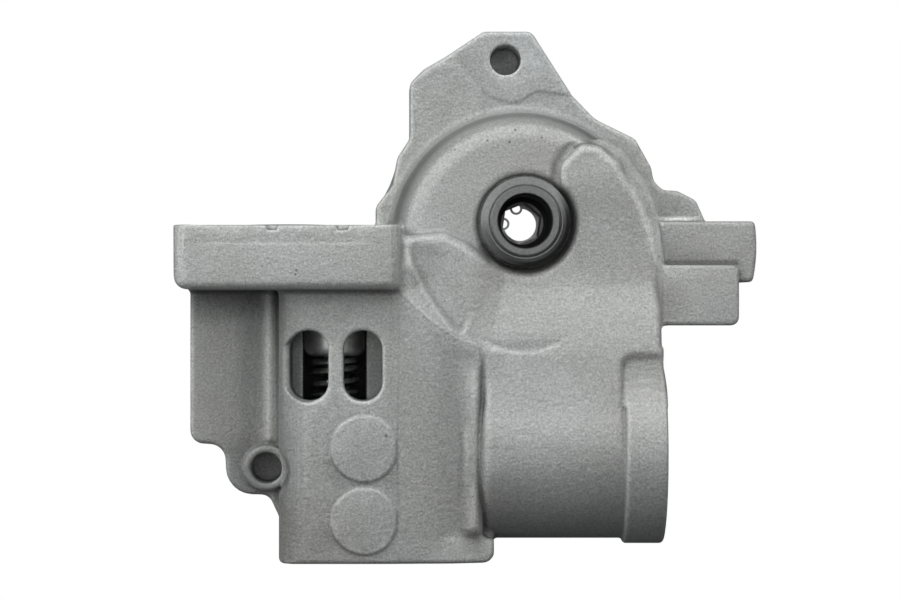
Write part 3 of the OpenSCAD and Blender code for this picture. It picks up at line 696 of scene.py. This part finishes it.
VOX = 0.5
field = housing_field(VOX)
housing = mesh_from_field(field, "housing_casting", 190000)
if volume_sign(housing.data) < 0:
    housing.data.flip_normals()
print("housing volume cm3", volume_sign(housing.data) * 1e6, "polys", len(housing.data.polygons))
housing.data.polygons.foreach_set("use_smooth", np.ones(len(housing.data.polygons), bool))
housing.data.set_sharp_from_angle(angle=math.radians(50))
mark_edges(field, housing.data)
mark_painted_light_and_shade(housing.data)
del field
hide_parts("pump_housing")
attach(housing, "root")

# ---------------------------------------------------------------- materials


def new_mat(name):
    m = bpy.data.materials.new(name)
    m.use_nodes = True
    nt = m.node_tree
    return m, nt, nt.nodes["Principled BSDF"]


def node(nt, kind, **kw):
    n = nt.nodes.new(kind)
    for k, v in kw.items():
        if k in n.inputs.keys():
            n.inputs[k].default_value = v
        else:
            setattr(n, k, v)
    return n


# dark pits left in the casting's front, and a row of four near x 14 to 16 mm, y 21 to 22 mm, that paints the shade in
# the crack at the suction side's left foot: place in metres and radius
PITS_AND_PAINTED_SHADE = [(-0.0027, 0.0262, 0.00042), (-0.0044, 0.0227, 0.00040), (-0.0107, 0.0232, 0.00034),
        (0.0048, 0.0240, 0.00036), (-0.0200, 0.0206, 0.00030), (-0.0396, -0.0607, 0.00050),
        (0.0383, -0.0100, 0.00030), (-0.0150, -0.0780, 0.00030), (0.0142, 0.0212, 0.00042),
        (0.0148, 0.0216, 0.00042), (-0.0648, -0.0140, 0.00040), (-0.0650, -0.0152, 0.00036), (0.0154, 0.0220, 0.00038), (0.0160, 0.0223, 0.00034)]


def cast_aluminium():
    m, nt, b = new_mat("cast_aluminium")
    L = nt.links
    tc = node(nt, "ShaderNodeTexCoord")

    def noise(scale, detail, rough):
        n = node(nt, "ShaderNodeTexNoise", Scale=scale, Detail=detail, Roughness=rough)
        L.new(tc.outputs["Object"], n.inputs["Vector"])
        return n.outputs["Fac"]

    def remap(src, f0, f1, t0, t1):
        n = node(nt, "ShaderNodeMapRange")
        for k, v in (("From Min", f0), ("From Max", f1), ("To Min", t0), ("To Max", t1)):
            n.inputs[k].default_value = v
        L.new(src, n.inputs["Value"])
        return n.outputs["Result"]

    def times(a, b2):
        n = node(nt, "ShaderNodeMath", operation="MULTIPLY")
        L.new(a, n.inputs[0])
        L.new(b2, n.inputs[1])
        return n.outputs["Value"]

    big, mid, fine = noise(30.0, 3.0, 0.55), noise(520.0, 2.0, 0.5), noise(1500.0, 3.0, 0.62)
    hair = noise(3600.0, 2.0, 0.5)
    # colour: warm-cool drift, grain, specks and pits
    drift = node(nt, "ShaderNodeValToRGB")
    drift.color_ramp.elements[0].position = 0.32
    drift.color_ramp.elements[0].color = (0.470, 0.475, 0.458, 1)
    drift.color_ramp.elements[1].position = 0.7
    drift.color_ramp.elements[1].color = (0.530, 0.552, 0.550, 1)
    L.new(big, drift.inputs["Fac"])
    tone = times(remap(fine, 0.3, 0.7, 0.74, 1.24), remap(hair, 0.3, 0.7, 0.88, 1.12))
    # edges are rubbed brighter; concave corners are darkened with painted shade
    edge = node(nt, "ShaderNodeAttribute")
    edge.attribute_name = "edge"
    tone = times(tone, remap(edge.outputs["Fac"], 0.035, 0.26, 1.0, 1.26))
    tone = times(tone, remap(edge.outputs["Fac"], -0.26, -0.03, 0.62, 1.0))
    # and painted shade makes the front a little darker towards the block's lower end, lighter towards the top
    sep = node(nt, "ShaderNodeSeparateXYZ")
    L.new(tc.outputs["Object"], sep.inputs["Vector"])
    tone = times(tone, remap(sep.outputs["Y"], -0.097, -0.010, 0.84, 1.12))
    # painted shade: darker over the arm, right of x = 36 mm
    tone = times(tone, remap(sep.outputs["X"], 0.036, 0.044, 1.0, 0.87))
    # painted shadow below the foot of the flange, and painted shade in the hollow beside the block
    west = remap(sep.outputs["X"], -0.036, -0.033, 1.0, 0.0)
    south = remap(sep.outputs["Y"], -0.0198, -0.0192, 1.0, 0.0)
    deep = remap(sep.outputs["Z"], 0.040, 0.055, 1.0, 0.0)
    here = times(west, south)
    for mask, y0, y1, k in ((None, -0.0370, -0.0200, 0.31), (deep, -0.0300, -0.0215, 0.50),
                            (deep, -0.0610, -0.0660, 0.22)):
        painted_shade_amount = times(here, remap(sep.outputs["Y"], y0, y1, 0.0, k))
        if mask is not None:
            painted_shade_amount = times(painted_shade_amount, mask)
        keep = node(nt, "ShaderNodeMath", operation="SUBTRACT")
        keep.inputs[0].default_value = 1.0
        L.new(painted_shade_amount, keep.inputs[1])
        tone = times(tone, keep.outputs["Value"])
    tone = times(tone, remap(sep.outputs["Z"], 0.0232, 0.0260, 0.93, 1.0))

    # painted shade darkens the inside of the relief bore, painted light brightens the slots' floors beside it, and
    # painted shade darkens the dome's wall
    def within(axis, lo, hi, gap=0.0004):
        return times(remap(sep.outputs[axis], lo - gap, lo, 0.0, 1.0), remap(sep.outputs[axis], hi, hi + gap, 1.0, 0.0))

    off = node(nt, "ShaderNodeVectorMath", operation="MULTIPLY_ADD")
    L.new(tc.outputs["Object"], off.inputs[0])
    off.inputs[1].default_value = (1, 0, 1)
    off.inputs[2].default_value = (0.0545, 0, -0.038)
    rad = node(nt, "ShaderNodeVectorMath", operation="LENGTH")
    L.new(off.outputs["Vector"], rad.inputs[0])
    wall = node(nt, "ShaderNodeVectorMath", operation="MULTIPLY_ADD")
    L.new(tc.outputs["Object"], wall.inputs[0])
    wall.inputs[1].default_value = (1, 1, 0)
    wall.inputs[2].default_value = (0.0007, 0.0053, 0)
    wr = node(nt, "ShaderNodeVectorMath", operation="LENGTH")
    L.new(wall.outputs["Vector"], wr.inputs[0])
    painted_wall_shade = times(remap(wr.outputs["Value"], 0.0330, 0.0345, 0.0, 0.50), remap(wr.outputs["Value"], 0.0378, 0.0388, 1.0, 0.0))
    painted_wall_shade = times(painted_wall_shade, times(remap(sep.outputs["Z"], 0.0238, 0.0290, 0.0, 1.0), remap(sep.outputs["Z"], 0.0350, 0.0440, 1.0, 0.0)))
    painted_wall_shade = times(painted_wall_shade, remap(sep.outputs["Y"], -0.006, 0.002, 0.0, 1.0))
    painted_bore_shade = times(remap(rad.outputs["Value"], 0.0092, 0.0095, 0.75, 0.0), within("Y", -0.0950, -0.0260))
    painted_slot_light = times(within("Z", 0.0300, 0.0408), remap(rad.outputs["Value"], 0.0092, 0.0095, 0.0, 0.95))
    painted_slot_light = times(painted_slot_light, times(within("X", -0.0675, -0.0400), within("Y", -0.0515, -0.0305)))
    # painted glint along the top of the arm's machined pad
    pad = times(times(within("X", 0.0370, 0.0520), within("Y", 0.0006, 0.0020)), remap(sep.outputs["Z"], 0.045, 0.046, 0.7, 0.0))
    # the arm: painted shade in a line above the lower tier, painted shade dimming the top edges, and painted shade over
    # the lower tier
    on_arm = within("X", 0.0405, 0.0610, 0.0012)
    painted_crease_shade = times(times(on_arm, within("Y", -0.0121, -0.0114, 0.0009)), remap(sep.outputs["Z"], 0.0424, 0.0432, 0.55, 0.0))
    rim = times(times(on_arm, within("Y", -0.0134, -0.0120, 0.0003)), remap(sep.outputs["Z"], 0.0436, 0.0446, 0.0, 0.16))
    painted_top_edge_shade = times(times(within("X", 0.0405, 0.0680), within("Y", -0.0009, 0.0004, 0.0002)), remap(sep.outputs["Z"], 0.0424, 0.0432, 0.14, 0.0))
    painted_lower_tier_shade = times(times(on_arm, within("Y", -0.0320, -0.0130)), remap(sep.outputs["Z"], 0.0436, 0.0446, 0.0, 0.065))
    # painted light (+) and shade (-) from the table of lines, read back from the vertices
    painted_light_and_shade = node(nt, "ShaderNodeAttribute")
    painted_light_and_shade.attribute_name = "painted_light_and_shade"
    for amount, sign in ((painted_bore_shade, "SUBTRACT"), (painted_crease_shade, "SUBTRACT"), (rim, "SUBTRACT"), (painted_top_edge_shade, "SUBTRACT"), (painted_lower_tier_shade, "SUBTRACT"), (painted_slot_light, "ADD"), (painted_wall_shade, "SUBTRACT"), (pad, "ADD"),
                         (painted_light_and_shade.outputs["Fac"], "ADD")):
        keep = node(nt, "ShaderNodeMath", operation=sign)
        keep.inputs[0].default_value = 1.0
        L.new(amount, keep.inputs[1])
        tone = times(tone, keep.outputs["Value"])
    tone = times(tone, remap(hair, 0.66, 0.76, 1.0, 1.22))
    tone = times(tone, remap(noise(900.0, 2.0, 0.5), 0.24, 0.32, 0.72, 1.0))
    # dark pits, and painted shade in the crack at the suction side's left foot
    for x, y, r in PITS_AND_PAINTED_SHADE:
        d = node(nt, "ShaderNodeVectorMath", operation="MULTIPLY_ADD")
        L.new(tc.outputs["Object"], d.inputs[0])
        d.inputs[1].default_value = (1, 1, 0)
        d.inputs[2].default_value = (-x, -y, 0)
        ln = node(nt, "ShaderNodeVectorMath", operation="LENGTH")
        L.new(d.outputs["Vector"], ln.inputs[0])
        tone = times(tone, remap(ln.outputs["Value"], 0.5 * r, 1.3 * r, 0.4, 1.0))
    mul = node(nt, "ShaderNodeMix", data_type="RGBA", blend_type="MULTIPLY")
    mul.inputs["Factor"].default_value = 1.0
    L.new(drift.outputs["Color"], mul.inputs["A"])
    L.new(tone, mul.inputs["B"])
    L.new(mul.outputs["Result"], b.inputs["Base Color"])
    b.inputs["Metallic"].default_value = 0.4
    L.new(remap(mid, 0.3, 0.7, 0.46, 0.56), b.inputs["Roughness"])
    add = node(nt, "ShaderNodeMath", operation="MULTIPLY_ADD")
    L.new(fine, add.inputs[0])
    add.inputs[1].default_value = 0.8
    L.new(mid, add.inputs[2])
    bump = node(nt, "ShaderNodeBump")
    bump.inputs["Strength"].default_value = 0.75
    bump.inputs["Distance"].default_value = 0.00025
    L.new(add.outputs["Value"], bump.inputs["Height"])
    L.new(bump.outputs["Normal"], b.inputs["Normal"])
    return m


def metal(name, color, rough, spread=0.06, scale=900.0, metallic=1.0, bump_m=0.00004, lines=None, ring=None, painted_flank_shade=None):
    m, nt, b = new_mat(name)
    L = nt.links
    tc = node(nt, "ShaderNodeTexCoord")
    n1 = node(nt, "ShaderNodeTexNoise", Scale=scale, Detail=3.0, Roughness=0.55)
    src = tc.outputs["Object"]
    if lines:
        mp = node(nt, "ShaderNodeMapping")
        mp.inputs["Scale"].default_value = lines
        L.new(src, mp.inputs["Vector"])
        src = mp.outputs["Vector"]
    L.new(src, n1.inputs["Vector"])
    r = node(nt, "ShaderNodeValToRGB")
    r.color_ramp.elements[0].position = 0.3
    r.color_ramp.elements[0].color = tuple(c * 0.82 for c in color) + (1,)
    r.color_ramp.elements[1].position = 0.7
    r.color_ramp.elements[1].color = tuple(min(1, c * 1.12) for c in color) + (1,)
    L.new(n1.outputs["Fac"], r.inputs["Fac"])
    out = r.outputs["Color"]
    if ring:
        # painted shade, near black, between two radii about the object's Z axis, inside the shaft's bore
        flat = node(nt, "ShaderNodeVectorMath", operation="MULTIPLY")
        L.new(tc.outputs["Object"], flat.inputs[0])
        flat.inputs[1].default_value = (1, 1, 0)
        ln = node(nt, "ShaderNodeVectorMath", operation="LENGTH")
        L.new(flat.outputs["Vector"], ln.inputs[0])
        for k, (lo, hi) in enumerate(((ring[0] - 0.0002, ring[0]), (ring[1], ring[1] + 0.0003))):
            mr = node(nt, "ShaderNodeMapRange")
            for key, v in (("From Min", lo), ("From Max", hi), ("To Min", float(k)), ("To Max", 1.0 - k)):
                mr.inputs[key].default_value = v
            L.new(ln.outputs["Value"], mr.inputs["Value"])
            if k == 0:
                first = mr.outputs["Result"]
        both_m = node(nt, "ShaderNodeMath", operation="MULTIPLY")
        L.new(first, both_m.inputs[0])
        L.new(mr.outputs["Result"], both_m.inputs[1])
        dark = node(nt, "ShaderNodeMix", data_type="RGBA", blend_type="MIX")
        L.new(both_m.outputs["Value"], dark.inputs["Factor"])
        L.new(out, dark.inputs["A"])
        dark.inputs["B"].default_value = (0.03, 0.03, 0.03, 1)
        out = dark.outputs["Result"]
        # and painted shadow, near black, round the lower right of the bush's collar
        side = node(nt, "ShaderNodeVectorMath", operation="DOT_PRODUCT")
        L.new(tc.outputs["Object"], side.inputs[0])
        side.inputs[1].default_value = (0.78, -0.62, 0)
        painted_collar_shadow = node(nt, "ShaderNodeMath", operation="MULTIPLY")
        for k, (src2, lo, hi) in enumerate(((ln.outputs["Value"], 0.0113, 0.0119), (side.outputs["Value"], 0.001, 0.008))):
            mr = node(nt, "ShaderNodeMapRange")
            mr.inputs["From Min"].default_value = lo
            mr.inputs["From Max"].default_value = hi
            mr.inputs["To Max"].default_value = 0.9
            L.new(src2, mr.inputs["Value"])
            L.new(mr.outputs["Result"], painted_collar_shadow.inputs[k])
        dark2 = node(nt, "ShaderNodeMix", data_type="RGBA", blend_type="MIX")
        L.new(painted_collar_shadow.outputs["Value"], dark2.inputs["Factor"])
        L.new(out, dark2.inputs["A"])
        dark2.inputs["B"].default_value = (0.03, 0.03, 0.03, 1)
        out = dark2.outputs["Result"]
    if painted_flank_shade:
        # painted shade, near black, along both flanks of a cylinder that lies along Y
        sp = node(nt, "ShaderNodeSeparateXYZ")
        L.new(tc.outputs["Object"], sp.inputs["Vector"])
        off = node(nt, "ShaderNodeMath", operation="SUBTRACT")
        L.new(sp.outputs["X"], off.inputs[0])
        off.inputs[1].default_value = painted_flank_shade[0]
        ab = node(nt, "ShaderNodeMath", operation="ABSOLUTE")
        L.new(off.outputs["Value"], ab.inputs[0])
        both_s = node(nt, "ShaderNodeMath", operation="MULTIPLY")
        for k, (lo, hi, t0, t1) in enumerate(((painted_flank_shade[1], painted_flank_shade[2], 0.0, 0.88), (painted_flank_shade[3], painted_flank_shade[3] + 0.0005, 1.0, 0.0))):
            mr = node(nt, "ShaderNodeMapRange")
            for key, v in (("From Min", lo), ("From Max", hi), ("To Min", t0), ("To Max", t1)):
                mr.inputs[key].default_value = v
            L.new(ab.outputs["Value"], mr.inputs["Value"])
            L.new(mr.outputs["Result"], both_s.inputs[k])
        dark3 = node(nt, "ShaderNodeMix", data_type="RGBA", blend_type="MIX")
        L.new(both_s.outputs["Value"], dark3.inputs["Factor"])
        L.new(out, dark3.inputs["A"])
        dark3.inputs["B"].default_value = (0.03, 0.03, 0.03, 1)
        out = dark3.outputs["Result"]
    L.new(out, b.inputs["Base Color"])
    b.inputs["Metallic"].default_value = metallic
    rr = node(nt, "ShaderNodeMapRange")
    rr.inputs["To Min"].default_value = max(0.05, rough - spread)
    rr.inputs["To Max"].default_value = rough + spread
    L.new(n1.outputs["Fac"], rr.inputs["Value"])
    L.new(rr.outputs["Result"], b.inputs["Roughness"])
    bump = node(nt, "ShaderNodeBump")
    bump.inputs["Strength"].default_value = 0.25
    bump.inputs["Distance"].default_value = bump_m
    L.new(n1.outputs["Fac"], bump.inputs["Height"])
    L.new(bump.outputs["Normal"], b.inputs["Normal"])
    return m


MATS = {
    "cast_aluminium": cast_aluminium(),
    "machined_aluminium": metal("machined_aluminium", (0.62, 0.63, 0.63), 0.34, scale=500.0),
    # painted shade inside the shaft's bore and round the bush's collar
    "shaft_steel": metal("shaft_steel", (0.29, 0.295, 0.295), 0.46, scale=1300.0, bump_m=0.0001, ring=(0.0063, 0.0077)),
    # painted shade along the relief piston's flanks
    "ground_steel": metal("ground_steel", (0.93, 0.93, 0.94), 0.42, scale=600.0, painted_flank_shade=(-0.0553, 0.0058, 0.0086, 0.0104)),
    "plain_steel": metal("plain_steel", (0.42, 0.42, 0.42), 0.36),
    "sintered_steel": metal("sintered_steel", (0.24, 0.24, 0.245), 0.45, scale=1500.0),
    "black_steel": metal("black_steel", (0.06, 0.06, 0.063), 0.4),
    "spring_steel": metal("spring_steel", (0.40, 0.40, 0.405), 0.3),
    "bronze": metal("bronze", (0.56, 0.37, 0.17), 0.36),
    "seal_rubber": metal("seal_rubber", (0.02, 0.02, 0.021), 0.55, metallic=0.0),
}
# a copy of the relief spring takes its place, in spring steel
coil = bpy.data.objects.new("relief_coil", nodes["relief_spring"].data.copy())
scene.collection.objects.link(coil)
coil.matrix_world = nodes["relief_spring"].matrix_world.copy()
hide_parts("relief_spring")
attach(coil, "root")
coil.data.materials.clear()
coil.data.materials.append(MATS["spring_steel"])
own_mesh(coil)

slot_of = {s["node"]: s["material_slot"] for s in frame["record"]["subparts"]}
housing.data.materials.append(MATS["cast_aluminium"])
for name, ob in nodes.items():
    mat = MATS[slot_of[name]]
    if not ob.material_slots:
        ob.data.materials.append(mat)
    for s in ob.material_slots:
        s.material = mat

# ---------------------------------------------------------------- stage
me = bpy.data.meshes.new("floor")
s = 2.5
me.from_pydata([(-s, -s, 0), (s, -s, 0), (s, s, 0), (-s, s, 0)], [], [(0, 1, 2, 3)])
floor = bpy.data.objects.new("floor", me)
scene.collection.objects.link(floor)
m, nt, b = new_mat("floor")
em = node(nt, "ShaderNodeEmission")
em.inputs["Color"].default_value = (1, 1, 1, 1)
em.inputs["Strength"].default_value = 1.0
dim = node(nt, "ShaderNodeEmission")
dim.inputs["Color"].default_value = (0.9, 0.95, 1, 1)
dim.inputs["Strength"].default_value = 0.05
lp = node(nt, "ShaderNodeLightPath")
mx = node(nt, "ShaderNodeMixShader")
nt.links.new(lp.outputs["Is Camera Ray"], mx.inputs["Fac"])
nt.links.new(dim.outputs["Emission"], mx.inputs[1])
nt.links.new(em.outputs["Emission"], mx.inputs[2])
nt.links.new(mx.outputs["Shader"], nt.nodes["Material Output"].inputs["Surface"])
me.materials.append(m)

# A wide soft light: bands of brightness by the angle from the zenith, from
# behind the camera towards the upper left.
world = bpy.data.worlds.new("world")
scene.world = world
world.use_nodes = True
wt = world.node_tree
bg = wt.nodes["Background"]
SKY = [(-180, .12), (-132, .12), (-128, .03), (-90, .03), (-62, .07), (-58, .12), (-41, .12), (-37, .04), (-22, .02),
       (-3, .02), (-1, 1.5), (11, 1.5), (14, .06), (32, .10), (36, 2.3), (46, 2.2), (55, 1.8), (65, 1.64), (75, 1.6),
       (78, .5), (89, .45), (92, .08), (180, .08)]
PEAK = 2.5
wc = wt.nodes.new("ShaderNodeTexCoord")
dots = []
AZ = math.radians(108)
for vec in ((math.cos(AZ), math.sin(AZ), 0), (0, 0, 1)):
    dn = wt.nodes.new("ShaderNodeVectorMath")
    dn.operation = "DOT_PRODUCT"
    wt.links.new(wc.outputs["Generated"], dn.inputs[0])
    dn.inputs[1].default_value = vec
    dots.append(dn.outputs["Value"])
at = wt.nodes.new("ShaderNodeMath")
at.operation = "ARCTAN2"
wt.links.new(dots[0], at.inputs[0])
wt.links.new(dots[1], at.inputs[1])
mr = wt.nodes.new("ShaderNodeMapRange")
mr.inputs["From Min"].default_value = -math.pi
mr.inputs["From Max"].default_value = math.pi
wt.links.new(at.outputs["Value"], mr.inputs["Value"])
cr = wt.nodes.new("ShaderNodeValToRGB")
els = cr.color_ramp.elements
for k, (ang, val) in enumerate(SKY):
    e = els[0] if k == 0 else els[-1] if k == len(SKY) - 1 else els.new((ang + 180) / 360)
    e.color = (val / PEAK, val / PEAK, val / PEAK, 1)
wt.links.new(mr.outputs["Result"], cr.inputs["Fac"])
wt.links.new(cr.outputs["Color"], bg.inputs["Color"])
bg.inputs["Strength"].default_value = PEAK
